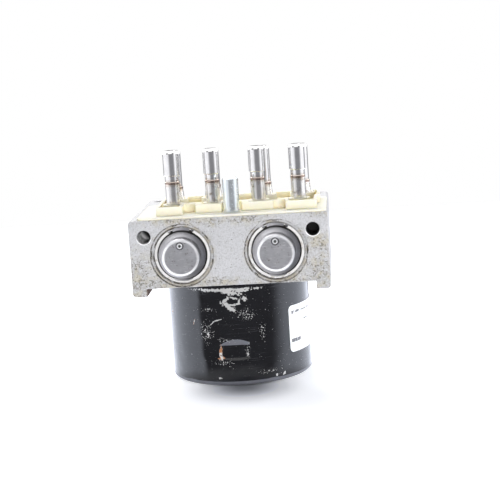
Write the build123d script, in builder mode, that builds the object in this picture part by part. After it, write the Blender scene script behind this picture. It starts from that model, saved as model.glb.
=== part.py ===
"""Hydraulic modulator of an anti-lock brake system, with its pump motor and without its electronics.

Frame: origin on the motor axis at the motor's flat foot, +Z up the motor axis towards the valves,
-Y towards the face that holds the two accumulators, +X to the right of that face. Millimetres.
"""

import os
from math import cos, radians, sin

from build123d import *

os.makedirs("parts", exist_ok=True)

# ---------------------------------------------------------------- driving dimensions
# Clearances
seat_gap = 0.05  # round pieces pressed or screwed into their own bore
running_gap = 0.05  # shaft and piston in a bearing or guide
slide_gap = 0.3  # pieces that slide past or rest beside each other
travel_gap = 0.4  # free space left at the end of a stroke

# Motor can and end plate
motor_radius = 38.0
motor_height = 55.0  # foot of the motor to the underside of the block
can_wall = 1.6
can_corner = 3.0
end_plate_thickness = 2.5
spigot_depth = 1.7
spigot_wall = 2.8
nose_radius = 13.0
nose_height = 6.5
dimple_width = 16.4
dimple_low = 14.0
dimple_high = 25.2
dimple_x = -1.0
dimple_depth = 1.05
dimple_upper_ramp = 3.2
dimple_lower_ramp = 1.2
label_height = 24.9
label_low = 14.0
label_start = 46.6  # degrees from the front, towards +X
label_sweep = 75.0
label_thickness = 0.15
label_corner = 2.5

# Valve block
block_width = 102.0
block_height = 35.4
block_front = 43.1  # motor axis to the accumulator face
block_rear = 39.0  # motor axis to the port face
edge_round = 1.8
leg_drop = 4.1
leg_width = 7.5
bracket_edge = 7.8  # from the end of the block
bracket_rise = 26.9  # above the underside of the block
bracket_thread_radius = 3.4
bracket_depth = 14.0
thread_chamfer = 0.5

# Accumulators
accumulator_x = 24.15
accumulator_rise = 16.5
lip_radius = 16.2
lip_depth = 0.8
seat_radius = 14.5
seat_depth = 4.6
groove_depth = 0.9  # radial
ring_thickness = 1.2
ring_recess = 1.5  # block face to the ring's front
ring_band = 2.5
ring_relief = 0.6  # radial, along the lowest part of the ring
ring_relief_angle = 21.0
ring_lug_angle = 25.0
ring_opening_angle = 19.0
ring_lug_radius = 1.35
ring_hole_radius = 0.75
accumulator_bore_radius = 11.8
accumulator_stroke = 3.5
cap_height = 7.5  # beyond the block face
cap_wall = 1.0
cap_skirt_radius = 12.3
cap_crown_radius = 10.0
cap_crown_taper = 0.3
cap_shoulder_height = 2.2
cap_crown_round = 1.3
vent_offset = 6.2
vent_boss_radius = 1.7
vent_boss_height = 0.5
vent_hole_radius = 0.5
piston_length = 4.4
piston_floor = 1.8
piston_seal_wire = 0.85
accumulator_wire = 0.8
accumulator_coils = 4

# Pump
pump_rise = 10.7  # pump axis above the underside of the block
chamber_radius = 11.6
eccentricity = 1.0
eccentric_radius = 6.5
eccentric_width = 7.0
eccentric_ring_radius = 10.0
pump_piston_radius = 3.0
pump_collar_radius = 4.6
pump_collar_width = 1.4
pump_guide_start = 13.5
pump_guide_length = 13.5
pump_bore_radius = 6.2
pump_plug_radius = 7.5
pump_plug_depth = 9.5
pump_edge = 0.5
pump_wire = 0.5
pump_coils = 4
hex_across_flats = 6.0
hex_socket_depth = 4.0

# Valves: four columns in each row, measured from valve_field_x
valve_field_x = 3.8
inlet_row_y = -24.0
inlet_outer_x = 32.7
inlet_inner_x = 11.8
outlet_row_y = -2.0
outlet_outer_x = 34.0
outlet_inner_x = 13.6
valve_seat_radius = 4.15
valve_seat_depth = 10.0
valve_nose_radius = 2.6
valve_nose_depth = 15.5
valve_flow_radius = 0.5
valve_seat_land = 2.5
inlet_body_radius = 3.75
inlet_weld_height = 16.6  # above the block
inlet_step_height = 20.7
inlet_tube_radius = 4.17
inlet_top_height = 33.5
outlet_base_radius = 4.75
outlet_base_height = 4.0
outlet_neck_radius = 4.1  # below the weld
outlet_weld_height = 11.5
outlet_tube_radius = 3.9
outlet_top_height = 31.5
tube_wall = 0.5
tube_top_round = 1.6
weld_width = 1.6
weld_bulge = 0.1
outlet_armature_length = 9.7
armature_stroke = 0.5
valve_pin_radius = 0.9
valve_spring_radius = 2.1
valve_spring_length = 3.5

# Valve plate
plate_left = -46.5
plate_right = 50.4
plate_front = -42.3
plate_rear = 8.0
plate_corner = 3.0
flange_thickness = 1.1
island_top = 5.5  # above the block
island_front = -26.5
island_rear = 5.0
island_wall = 1.6
island_floor = 1.4
island_round = 0.55
# Forward parts of the island: left edge, right edge, front edge
island_lobes = (
    (-37.0, -23.3, -35.8),
    (-17.0, -3.2, -32.3),
    (7.1, 23.6, -31.2),
    (23.4, 29.9, -29.2),
    (29.8, 45.8, -35.8),
)
island_right_end = 47.0
island_right_front = -16.0

# Locating sleeve, electronics screws, motor screws, ports
sleeve_x = 2.0
sleeve_y = -33.0
sleeve_radius = 4.15
sleeve_bore_radius = 2.7
sleeve_height = 18.6  # above the block
sleeve_seat_depth = 2.0
sleeve_chamfer = 0.4
screw_hole_radius = 2.1
screw_hole_depth = 9.0
rear_screw_edge = 6.0  # from the end of the block
rear_screw_y = 33.0
motor_screw_x = 28.0
motor_screw_y = 14.0
motor_screw_radius = 2.45
motor_screw_head_radius = 4.25
motor_screw_head_height = 5.0
screw_recess = 0.2
screw_socket_across_flats = 4.0
port_depth = 12.0
port_feed_radius = 1.5
port_feed_depth = 19.0
wheel_port_radius = 4.46
wheel_port_outer_x = 37.0
wheel_port_inner_x = 13.0
wheel_port_rise = 25.0
master_port_radius = 5.46
master_port_x = 25.0
master_port_rise = 10.5
port_face_margin = 2.0
port_face_depth = 0.5
passage_radius = 1.5
passage_drop = 13.2
ball_radius = 2.2
ball_recess = 0.8

# Motor inside
shaft_radius = 4.0
shaft_foot = 3.0
rear_bush_radius = 7.0
rear_bush_length = 6.0
rear_boss_wall = 2.4
front_bearing_radius = 9.5
front_bearing_width = 7.0
air_gap = 0.7
core_low = 12.0
core_length = 26.0
slot_count = 10
slot_mouth = 2.4
slot_width = 6.6
slot_inner = 13.5
tooth_tip = 4.4
winding_inset = 0.2
winding_end = 2.9
magnet_low = 8.0
magnet_length = 36.0
magnet_thickness = 6.0
magnet_arc = 120.0
commutator_radius = 9.5
commutator_low = 43.0
commutator_length = 7.0
commutator_slits = 10
commutator_slit_width = 0.6
commutator_slit_depth = 0.8
commutator_bite = 0.3
brush_plate_thickness = 2.5
brush_plate_bore = 11.0
brush_width = 5.0
brush_height = 5.0
brush_length = 9.0
brush_wear = 3.0
brush_box_wall = 1.4
brush_spring_solid = 4.8  # room that the pressed spring keeps
brush_wire = 0.4
brush_coils = 5
connector_y = 24.0
connector_radius = 4.5
connector_slot_length = 3.0
connector_slot_width = 0.9
connector_slot_depth = 6.0
seal_radius = 17.5
seal_wire = 0.9

# ---------------------------------------------------------------- derived places
block_floor = motor_height
block_top = block_floor + block_height
block_depth = block_front + block_rear
block_half = block_width / 2
bracket_x = block_half - bracket_edge
rear_screw_x = block_half - rear_screw_edge
leg_foot = block_floor - leg_drop
end_plate_low = motor_height - end_plate_thickness
accumulator_z = block_floor + accumulator_rise
pump_z = block_floor + pump_rise
can_inner_radius = motor_radius - can_wall
core_radius = can_inner_radius - slide_gap - magnet_thickness - air_gap
slot_outer = core_radius - tooth_tip
groove_radius = seat_radius + groove_depth
ring_radius = groove_radius - 0.1
piston_radius = accumulator_bore_radius - slide_gap
accumulator_bore_depth = seat_depth + slide_gap + accumulator_stroke + piston_length + travel_gap
pump_plug_inner = block_half - pump_plug_depth
brush_tip = commutator_radius + slide_gap
brush_mid_z = commutator_low + commutator_length / 2
rotor_top = pump_z + eccentric_width / 2 + 1.5
chamber_top = rotor_top + slide_gap
sides = {"left": -1, "right": 1}
motor_axis = Axis.Z
quarter_turn = 90
block_front_plane = Plane((0, -block_front, block_floor), x_dir=(1, 0, 0), z_dir=(0, -1, 0))
block_rear_plane = Plane((0, block_rear, block_floor), x_dir=(-1, 0, 0), z_dir=(0, 1, 0))
block_top_plane = Plane.XY.offset(block_top)
inlet_columns = (-inlet_outer_x, -inlet_inner_x, inlet_inner_x, inlet_outer_x)
outlet_columns = (-outlet_outer_x, -outlet_inner_x, outlet_inner_x, outlet_outer_x)
inlet_places = [(valve_field_x + column, inlet_row_y) for column in inlet_columns]
outlet_places = [(valve_field_x + column, outlet_row_y) for column in outlet_columns]
wheel_port_columns = (-wheel_port_outer_x, -wheel_port_inner_x, wheel_port_inner_x, wheel_port_outer_x)
master_port_columns = (-master_port_x, master_port_x)
motor_screw_places = [(x, y) for x in (-motor_screw_x, motor_screw_x)
                      for y in (-motor_screw_y, motor_screw_y)]
passage_rows = (inlet_row_y, outlet_row_y)
passage_z = block_top - passage_drop


# ---------------------------------------------------------------- shared operations
def save(piece, node):
    """Name a finished piece and write it as its own STEP file."""
    piece.part.label = node
    export_step(piece.part, f"parts/{node}.step")


def stepped_bore(mouth, steps):
    """Cut coaxial round steps, each (radius, depth from the mouth), from the part being built."""
    for radius, depth in steps:
        with BuildSketch(mouth) as step:
            Circle(radius)
        extrude(step.sketch, amount=-depth, mode=Mode.SUBTRACT)


def half_profile(plane, points):
    """Closed half section on a plane, ready to be revolved about that plane's own axis."""
    with BuildSketch(plane) as section:
        with BuildLine():
            Polyline(*points, close=True)
        make_face()
    return section.sketch


def accumulator_plane(side):
    """Half-section plane of one accumulator: local x is the radius, local y points out of the block."""
    return Plane((side * accumulator_x, -block_front, accumulator_z), x_dir=(1, 0, 0), z_dir=(0, 0, -1))


def accumulator_face(side, height):
    """Plane across one accumulator, facing out, at a height above the block face."""
    return Plane((side * accumulator_x, -block_front - height, accumulator_z),
                 x_dir=(1, 0, 0), z_dir=(0, -1, 0))


def pump_plane(side):
    """Half-section plane of one pump element: local x runs out along the pump axis."""
    return Plane((0, 0, pump_z), x_dir=(side, 0, 0), z_dir=(0, 0, 1))


def side_plane(side, y, z):
    """Plane on the left or right face of the block, facing out."""
    return Plane((side * block_half, y, z), x_dir=(0, side, 0), z_dir=(side, 0, 0))


def upright_plane(place):
    """Half-section plane of an upright piece that stands on the block: local y is the height above it."""
    return Plane((place[0], place[1], block_top), x_dir=(1, 0, 0), z_dir=(0, -1, 0))


def axis_of(plane, along_x=False):
    """Axis through a plane's origin, along its local y or its local x."""
    return Axis(plane.origin, plane.x_dir if along_x else plane.y_dir)


def seal_ring(plane, major_radius, height, wire_radius):
    """O-ring about a half-section plane's local y axis."""
    with BuildPart() as ring:
        with BuildSketch(plane) as section:
            with Locations((major_radius, height)):
                Circle(wire_radius)
        revolve(section.sketch, axis=axis_of(plane))
    return ring


def azimuth_plane(angle):
    """Half-section plane of the motor at an angle from the front, towards +X."""
    turn = radians(angle)
    return Plane((0, 0, 0), x_dir=(sin(turn), -cos(turn), 0), z_dir=(-cos(turn), -sin(turn), 0))


def wedge(half_angle, radius, downwards=False):
    """Round sector that stands on its tip, to half an angle on each side of the upright."""
    middle = 270 if downwards else 90
    with BuildSketch(mode=Mode.PRIVATE) as sector:
        with BuildLine():
            turn = CenterArc((0, 0), radius, middle - half_angle, 2 * half_angle)
            Polyline(turn @ 1, (0, 0), turn @ 0)
        make_face()
    return sector.sketch


def coil_spring(base, mean_radius, wire_radius, length, coils):
    """Open coil spring that stands on a plane and fills the given length."""
    start = base.offset(wire_radius + seat_gap)
    coil_length = length - 2 * (wire_radius + seat_gap)
    with BuildPart() as spring:
        with BuildLine() as path:
            Helix(coil_length / coils, coil_length, mean_radius, center=start.origin, direction=start.z_dir)
        with BuildSketch(Plane(path.line @ 0, z_dir=path.line % 0)) as wire:
            Circle(wire_radius)
        sweep(wire.sketch, path=path.line, is_frenet=True)
    return spring


# ---------------------------------------------------------------- valve block
valve_bore_steps = [
    (valve_seat_radius + seat_gap, valve_seat_depth),
    (valve_nose_radius + seat_gap, valve_nose_depth + travel_gap),
]
accumulator_bore_profile = [
    (0, 0),
    (lip_radius, 0),
    (lip_radius, -lip_depth),
    (seat_radius, -lip_depth),
    (seat_radius, -ring_recess + seat_gap),
    (groove_radius, -ring_recess + seat_gap),
    (groove_radius, -ring_recess - ring_thickness),
    (seat_radius, -ring_recess - ring_thickness),
    (seat_radius, -seat_depth),
    (accumulator_bore_radius, -seat_depth),
    (accumulator_bore_radius, -accumulator_bore_depth),
    (0, -accumulator_bore_depth),
]

with BuildPart() as valve_block:
    with BuildSketch(Plane.XY.offset(block_floor)):
        with Locations((0, (block_rear - block_front) / 2)):
            Rectangle(block_width, block_depth)
    extrude(amount=block_height)
    with BuildSketch(Plane.XY.offset(leg_foot)):
        with Locations((0, (block_rear - block_front) / 2)):
            with GridLocations(block_width - leg_width, 0, 2, 1):
                Rectangle(leg_width, block_depth)
    extrude(amount=leg_drop)
    long_edges = valve_block.edges().filter_by(Axis.Y).group_by(Axis.X)
    fillet(long_edges[0] + long_edges[-1], radius=edge_round)

    for side in sides.values():
        bore_plane = accumulator_plane(side)
        revolve(half_profile(bore_plane, accumulator_bore_profile), axis=axis_of(bore_plane),
                mode=Mode.SUBTRACT)
        stepped_bore(side_plane(side, 0, pump_z), [
            (pump_plug_radius, pump_plug_depth),
            (pump_bore_radius, block_half - pump_guide_start),
            (pump_piston_radius + slide_gap, block_half - chamber_radius / 2),
        ])
        for row in passage_rows:
            stepped_bore(side_plane(side, row, passage_z), [
                (ball_radius + seat_gap, ball_recess + 2 * ball_radius),
                (passage_radius, block_half),
            ])

    # Motor side: pilot for the motor nose, pump chamber and seal groove
    stepped_bore(Plane((0, 0, block_floor), x_dir=(1, 0, 0), z_dir=(0, 0, -1)), [
        (nose_radius + seat_gap, nose_height + slide_gap),
        (chamber_radius, chamber_top - block_floor),
    ])
    with BuildSketch(Plane.XY.offset(block_floor)):
        Circle(seal_radius + seal_wire + 0.1)
        Circle(seal_radius - seal_wire - 0.1, mode=Mode.SUBTRACT)
    extrude(amount=2 * seal_wire + seat_gap, mode=Mode.SUBTRACT)

    # Top: valve bores, motor screws, motor connector, sleeve and electronics screws
    for place in inlet_places + outlet_places:
        stepped_bore(block_top_plane * Pos(*place), valve_bore_steps)
    for place in motor_screw_places:
        stepped_bore(block_top_plane * Pos(*place), [
            (motor_screw_head_radius + 0.2, motor_screw_head_height + 0.2),
            (motor_screw_radius + slide_gap, block_height),
        ])
    stepped_bore(block_top_plane * Pos(0, connector_y), [(connector_radius + seat_gap, block_height)])
    stepped_bore(block_top_plane * Pos(sleeve_x, sleeve_y), [
        (sleeve_radius + seat_gap, sleeve_seat_depth),
        (screw_hole_radius, sleeve_seat_depth + screw_hole_depth),
    ])
    for side in sides.values():
        stepped_bore(block_top_plane * Pos(side * rear_screw_x, rear_screw_y),
                     [(screw_hole_radius, screw_hole_depth)])

    # Front: two bracket threads. Rear: brake line ports
    with Locations(block_front_plane):
        with Locations((-bracket_x, bracket_rise), (bracket_x, bracket_rise)):
            CounterSinkHole(bracket_thread_radius, bracket_thread_radius + thread_chamfer, bracket_depth, 90)
    for columns, rise, radius in ((wheel_port_columns, wheel_port_rise, wheel_port_radius),
                                  (master_port_columns, master_port_rise, master_port_radius)):
        for column in columns:
            stepped_bore(block_rear_plane * Pos(column, rise), [
                (radius + port_face_margin, port_face_depth),
                (radius, port_depth),
                (port_feed_radius, port_feed_depth),
            ])
save(valve_block, "valve_block")

with BuildPart() as passage_balls:
    for side in sides.values():
        with Locations(*[(side * (block_half - ball_recess - ball_radius), row, passage_z)
                         for row in passage_rows]):
            Sphere(ball_radius)
save(passage_balls, "passage_balls")


# ---------------------------------------------------------------- accumulators
ring_back = -ring_recess - ring_thickness
piston_back = -accumulator_bore_depth + travel_gap
piston_front = piston_back + piston_length
pocket_floor = piston_back + piston_floor
piston_seal_height = piston_back + piston_length / 2
piston_groove_radius = accumulator_bore_radius - seat_gap - 2 * piston_seal_wire
piston_groove_half = piston_seal_wire + seat_gap
cap_ceiling = cap_height - cap_wall
flange_radius = seat_radius - seat_gap
coil_radius = cap_crown_radius - cap_crown_taper - cap_wall - slide_gap - 2 * accumulator_wire
pocket_radius = coil_radius + accumulator_wire + slide_gap

for side_name, side in sides.items():
    plane = accumulator_plane(side)
    axis = axis_of(plane)

    with BuildPart() as accumulator_cap:
        revolve(half_profile(plane, [
            (0, cap_height),
            (cap_crown_radius - cap_crown_taper, cap_height),
            (cap_crown_radius, cap_shoulder_height),
            (cap_skirt_radius, -lip_depth),
            (cap_skirt_radius, ring_back),
            (flange_radius, ring_back),
            (flange_radius, -seat_depth),
            (cap_skirt_radius - cap_wall, -seat_depth),
            (cap_skirt_radius - cap_wall, -lip_depth - cap_wall / 2),
            (cap_crown_radius - cap_wall, cap_shoulder_height - cap_wall / 2),
            (cap_crown_radius - cap_crown_taper - cap_wall, cap_ceiling),
            (0, cap_ceiling),
        ]), axis=axis)
        fillet(accumulator_cap.faces().sort_by(Axis.Y)[0].edges(), radius=cap_crown_round)
        boss_top = accumulator_face(side, cap_height + vent_boss_height) * Pos(0, vent_offset)
        with BuildSketch(boss_top) as vent_boss:
            Circle(vent_boss_radius)
        extrude(vent_boss.sketch, amount=-vent_boss_height - cap_wall / 2)
        stepped_bore(boss_top, [(vent_hole_radius, vent_boss_height + 2 * cap_wall)])
    save(accumulator_cap, f"accumulator_cap_{side_name}")

    with BuildPart() as retaining_ring:
        with BuildSketch(accumulator_face(side, ring_back)):
            Circle(ring_radius)
            Circle(ring_radius - ring_band, mode=Mode.SUBTRACT)
            add(wedge(ring_opening_angle, ring_radius), mode=Mode.SUBTRACT)
            add(wedge(ring_relief_angle, ring_radius - ring_band + ring_relief, downwards=True),
                mode=Mode.SUBTRACT)
            lug_spots = PolarLocations(ring_radius - ring_lug_radius, 2, 90 - ring_lug_angle,
                                       2 * ring_lug_angle, endpoint=True)
            with lug_spots:
                Circle(ring_lug_radius)
            with lug_spots:
                Circle(ring_hole_radius, mode=Mode.SUBTRACT)
        extrude(amount=ring_thickness)
    save(retaining_ring, f"retaining_ring_{side_name}")

    with BuildPart() as accumulator_piston:
        revolve(half_profile(plane, [
            (0, piston_back),
            (piston_radius, piston_back),
            (piston_radius, piston_seal_height - piston_groove_half),
            (piston_groove_radius, piston_seal_height - piston_groove_half),
            (piston_groove_radius, piston_seal_height + piston_groove_half),
            (piston_radius, piston_seal_height + piston_groove_half),
            (piston_radius, piston_front),
            (pocket_radius, piston_front),
            (pocket_radius, pocket_floor),
            (0, pocket_floor),
        ]), axis=axis)
    save(accumulator_piston, f"accumulator_piston_{side_name}")

    piston_seal = seal_ring(plane, piston_groove_radius + piston_seal_wire, piston_seal_height,
                            piston_seal_wire)
    save(piston_seal, f"piston_seal_{side_name}")

    accumulator_spring = coil_spring(accumulator_face(side, pocket_floor), coil_radius,
                                     accumulator_wire, cap_ceiling - pocket_floor, accumulator_coils)
    save(accumulator_spring, f"accumulator_spring_{side_name}")


# ---------------------------------------------------------------- pump elements
pump_tip = eccentric_ring_radius + eccentricity + slide_gap
pump_guide_end = pump_guide_start + pump_guide_length
collar_start = pump_guide_end + eccentricity + travel_gap
collar_end = collar_start + pump_collar_width
plug_face = block_half - travel_gap
plug_radius = pump_plug_radius - seat_gap

for side_name, side in sides.items():
    plane = pump_plane(side)
    axis = axis_of(plane, along_x=True)

    with BuildPart() as pump_guide:
        revolve(half_profile(plane, [
            (pump_guide_start, pump_piston_radius + running_gap),
            (pump_guide_end, pump_piston_radius + running_gap),
            (pump_guide_end, pump_bore_radius - seat_gap),
            (pump_guide_start, pump_bore_radius - seat_gap),
        ]), axis=axis)
    save(pump_guide, f"pump_guide_{side_name}")

    with BuildPart() as pump_piston:
        revolve(half_profile(plane, [
            (pump_tip, 0),
            (pump_tip, pump_piston_radius - pump_edge),
            (pump_tip + pump_edge, pump_piston_radius),
            (collar_start, pump_piston_radius),
            (collar_start, pump_collar_radius),
            (collar_end, pump_collar_radius),
            (collar_end, 0),
        ]), axis=axis)
    save(pump_piston, f"pump_piston_{side_name}")

    pump_spring = coil_spring(
        Plane((side * collar_end, 0, pump_z), x_dir=(0, 1, 0), z_dir=(side, 0, 0)),
        pump_collar_radius - 2 * pump_wire, pump_wire, pump_plug_inner - collar_end, pump_coils)
    save(pump_spring, f"pump_spring_{side_name}")

    with BuildPart() as pump_plug:
        revolve(half_profile(plane, [
            (pump_plug_inner, 0),
            (pump_plug_inner, plug_radius),
            (plug_face - pump_edge, plug_radius),
            (plug_face, plug_radius - pump_edge),
            (plug_face, 0),
        ]), axis=axis)
        with BuildSketch(side_plane(side, 0, pump_z).offset(plug_face - block_half)) as socket:
            RegularPolygon(hex_across_flats / 2, 6, major_radius=False)
        extrude(socket.sketch, amount=-hex_socket_depth, mode=Mode.SUBTRACT)
    save(pump_plug, f"pump_plug_{side_name}")


# ---------------------------------------------------------------- solenoid valves
seat_top = -valve_nose_depth + valve_seat_land
pin_channel_radius = valve_pin_radius + slide_gap
spring_pocket_radius = valve_spring_radius + slide_gap
inlet_cavity_low = inlet_step_height + tube_wall
inlet_cavity_radius = inlet_tube_radius - tube_wall
inlet_armature_low = inlet_cavity_low + armature_stroke + travel_gap
inlet_armature_length = inlet_top_height - tube_top_round - 2 * seat_gap - inlet_armature_low
inlet_spring_low = inlet_cavity_low - valve_spring_length
outlet_cavity_low = outlet_base_height + tube_wall
outlet_cavity_radius = outlet_tube_radius - tube_wall
outlet_armature_low = outlet_cavity_low + travel_gap
outlet_armature_top = outlet_armature_low + outlet_armature_length
outlet_cavity_top = outlet_armature_top + armature_stroke + travel_gap


def weld_ring(body_radius, height, tube_radius):
    """Half section of a weld bead where a body meets the tube above it."""
    return [
        (body_radius, height - weld_width / 2),
        (body_radius + weld_bulge, height - weld_width / 4),
        (body_radius + weld_bulge, height + weld_width / 4),
        (tube_radius, height + weld_width / 2),
    ]


def cartridge_foot(base_radius):
    """Half section of the part of a valve that sits in the block, from its flow hole outwards."""
    return [
        (valve_flow_radius, -valve_nose_depth),
        (valve_nose_radius, -valve_nose_depth),
        (valve_nose_radius, -valve_seat_depth),
        (valve_seat_radius, -valve_seat_depth),
        (valve_seat_radius, 0),
        (base_radius, 0),
    ]


inlet_profile = cartridge_foot(inlet_body_radius) + weld_ring(
    inlet_body_radius, inlet_weld_height, inlet_body_radius - weld_bulge) + [
    (inlet_body_radius - weld_bulge, inlet_step_height - tube_wall),
    (inlet_tube_radius, inlet_step_height),
    (inlet_tube_radius, inlet_top_height),
    (0, inlet_top_height),
    (0, inlet_top_height - tube_wall),
    (inlet_cavity_radius, inlet_top_height - tube_top_round),
    (inlet_cavity_radius, inlet_cavity_low),
    (spring_pocket_radius, inlet_cavity_low),
    (spring_pocket_radius, inlet_spring_low),
    (pin_channel_radius, inlet_spring_low),
    (pin_channel_radius, seat_top),
    (valve_flow_radius, seat_top),
]
outlet_profile = cartridge_foot(outlet_base_radius) + [
    (outlet_base_radius, outlet_base_height),
] + weld_ring(outlet_neck_radius, outlet_weld_height, outlet_tube_radius) + [
    (outlet_tube_radius, outlet_top_height),
    (0, outlet_top_height),
    (0, outlet_cavity_top + valve_spring_length),
    (spring_pocket_radius, outlet_cavity_top + valve_spring_length),
    (spring_pocket_radius, outlet_cavity_top),
    (outlet_cavity_radius, outlet_cavity_top),
    (outlet_cavity_radius, outlet_cavity_low),
    (pin_channel_radius, outlet_cavity_low),
    (pin_channel_radius, seat_top),
    (valve_flow_radius, seat_top),
]


def armature_profile(radius, low, length, tip):
    """Half section of an armature with its sealing pin."""
    return [
        (0, tip),
        (valve_flow_radius, tip),
        (valve_pin_radius, tip + valve_pin_radius),
        (valve_pin_radius, low),
        (radius, low),
        (radius, low + length),
        (0, low + length),
    ]


inlet_armature_profile = armature_profile(
    inlet_cavity_radius - slide_gap, inlet_armature_low, inlet_armature_length,
    seat_top + armature_stroke + slide_gap)
outlet_armature_profile = armature_profile(
    outlet_cavity_radius - slide_gap, outlet_armature_low, outlet_armature_length, seat_top + slide_gap)

for kind, places, body_profile, moving_profile in (
        ("inlet", inlet_places, inlet_profile, inlet_armature_profile),
        ("outlet", outlet_places, outlet_profile, outlet_armature_profile)):
    for number, place in enumerate(places, start=1):
        plane = upright_plane(place)
        with BuildPart() as solenoid_valve:
            revolve(half_profile(plane, body_profile), axis=axis_of(plane))
            fillet(solenoid_valve.faces().sort_by(Axis.Z)[-1].edges(), radius=tube_top_round)
        save(solenoid_valve, f"{kind}_valve_{number}")
        with BuildPart() as armature:
            revolve(half_profile(plane, moving_profile), axis=axis_of(plane))
        save(armature, f"{kind}_armature_{number}")

with BuildPart() as valve_springs:
    for places, low, high in (
            (inlet_places, inlet_spring_low, inlet_armature_low - armature_stroke - seat_gap),
            (outlet_places, outlet_armature_top + armature_stroke + seat_gap,
             outlet_cavity_top + valve_spring_length)):
        with BuildSketch(block_top_plane.offset(low)) as spring_ring:
            with Locations(*places):
                Circle(valve_spring_radius)
            with Locations(*places):
                Circle(pin_channel_radius, mode=Mode.SUBTRACT)
        extrude(spring_ring.sketch, amount=high - low)
save(valve_springs, "valve_springs")


# ---------------------------------------------------------------- valve plate and top hardware
with BuildPart() as valve_plate:
    with BuildSketch(block_top_plane):
        with Locations(((plate_left + plate_right) / 2, (plate_front + plate_rear) / 2)):
            RectangleRounded(plate_right - plate_left, plate_rear - plate_front, plate_corner)
    extrude(amount=flange_thickness)
    with BuildSketch(block_top_plane.offset(flange_thickness)) as island:
        field_left = island_lobes[0][0]
        field_right = island_lobes[-1][1]
        islands = [(field_left, field_right, island_front, island_rear),
                   (field_right - island_wall, island_right_end, island_right_front, island_rear)]
        islands += [(left, right, front, island_front + island_wall) for left, right, front in island_lobes]
        for left, right, front, rear in islands:
            with Locations(((left + right) / 2, (front + rear) / 2)):
                Rectangle(right - left, rear - front)
        fillet(island.vertices(), radius=island_round)
    extrude(amount=island_top - flange_thickness)
    with BuildSketch(block_top_plane.offset(island_top)) as pockets:
        add(offset(island.sketch_local, amount=-island_wall, mode=Mode.PRIVATE))
        for places, radius in ((inlet_places, inlet_body_radius), (outlet_places, outlet_base_radius)):
            with Locations(*places):
                Circle(radius + slide_gap + island_wall, mode=Mode.SUBTRACT)
    extrude(amount=island_floor + flange_thickness - island_top, mode=Mode.SUBTRACT)
    with BuildSketch(block_top_plane) as stem_holes:
        with Locations(*inlet_places):
            Circle(inlet_body_radius + slide_gap)
        with Locations(*outlet_places):
            Circle(outlet_base_radius + slide_gap)
        with Locations((sleeve_x, sleeve_y)):
            Circle(sleeve_radius + slide_gap)
    extrude(amount=island_top, mode=Mode.SUBTRACT)
save(valve_plate, "valve_plate")

with BuildPart() as locating_sleeve:
    with BuildSketch(block_top_plane.offset(-sleeve_seat_depth)):
        with Locations((sleeve_x, sleeve_y)):
            Circle(sleeve_radius)
            Circle(sleeve_bore_radius, mode=Mode.SUBTRACT)
    extrude(amount=sleeve_seat_depth + sleeve_height)
    chamfer(locating_sleeve.faces().sort_by(Axis.Z)[-1].edges(), length=sleeve_chamfer)
save(locating_sleeve, "locating_sleeve")

with BuildPart() as motor_screws:
    with BuildSketch(Plane.XY.offset(end_plate_low)):
        with Locations(*motor_screw_places):
            Circle(motor_screw_radius)
    extrude(amount=block_top - motor_screw_head_height - screw_recess - end_plate_low)
    with BuildSketch(block_top_plane.offset(-screw_recess)):
        with Locations(*motor_screw_places):
            Circle(motor_screw_head_radius)
    extrude(amount=-motor_screw_head_height)
    with BuildSketch(block_top_plane.offset(-screw_recess)):
        with Locations(*motor_screw_places):
            RegularPolygon(screw_socket_across_flats / 2, 6, major_radius=False)
    extrude(amount=-motor_screw_head_height / 2, mode=Mode.SUBTRACT)
save(motor_screws, "motor_screws")


# ---------------------------------------------------------------- motor housing
boss_radius = rear_bush_radius + seat_gap + rear_boss_wall
bush_seat = shaft_foot - travel_gap
bush_top = bush_seat + rear_bush_length


def dimple_form(growth):
    """Flat pressed into the can's front between two ramps, larger by a growth on every side."""
    low = dimple_low - growth
    high = dimple_high + growth
    floor = motor_radius - dimple_depth - growth
    mouth = motor_radius + can_wall
    with BuildPart() as form:
        with BuildSketch(Plane.YZ.offset(dimple_x)) as section:
            with BuildLine():
                Polyline(
                    (-mouth, low),
                    (-motor_radius, low),
                    (-floor, low + dimple_lower_ramp),
                    (-floor, high - dimple_upper_ramp),
                    (-motor_radius, high),
                    (-mouth, high),
                    close=True,
                )
            make_face()
        extrude(section.sketch, amount=dimple_width / 2 + growth, both=True)
    return form


with BuildPart() as dimple_back:
    add(dimple_form(can_wall).part)
    Cylinder(motor_radius - can_wall / 2, end_plate_low, align=(Align.CENTER, Align.CENTER, Align.MIN),
             mode=Mode.INTERSECT)

with BuildPart() as motor_case:
    with BuildSketch(Plane.XZ) as can_section:
        with BuildLine():
            Polyline(
                (0, 0),
                (motor_radius, 0),
                (motor_radius, end_plate_low),
                (can_inner_radius, end_plate_low),
                (can_inner_radius, can_wall),
                (boss_radius, can_wall),
                (boss_radius, bush_top),
                (rear_bush_radius + seat_gap, bush_top),
                (rear_bush_radius + seat_gap, bush_seat),
                (0, bush_seat),
                close=True,
            )
        make_face()
        outer_corner = can_section.vertices().sort_by_distance((motor_radius, 0))[0]
        fillet(outer_corner, radius=can_corner)
        inner_corner = can_section.vertices().sort_by_distance((can_inner_radius, can_wall))[0]
        fillet(inner_corner, radius=can_corner - can_wall)
    revolve(axis=motor_axis)
    add(dimple_back.part)
    add(dimple_form(0).part, mode=Mode.SUBTRACT)
save(motor_case, "motor_case")

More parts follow.
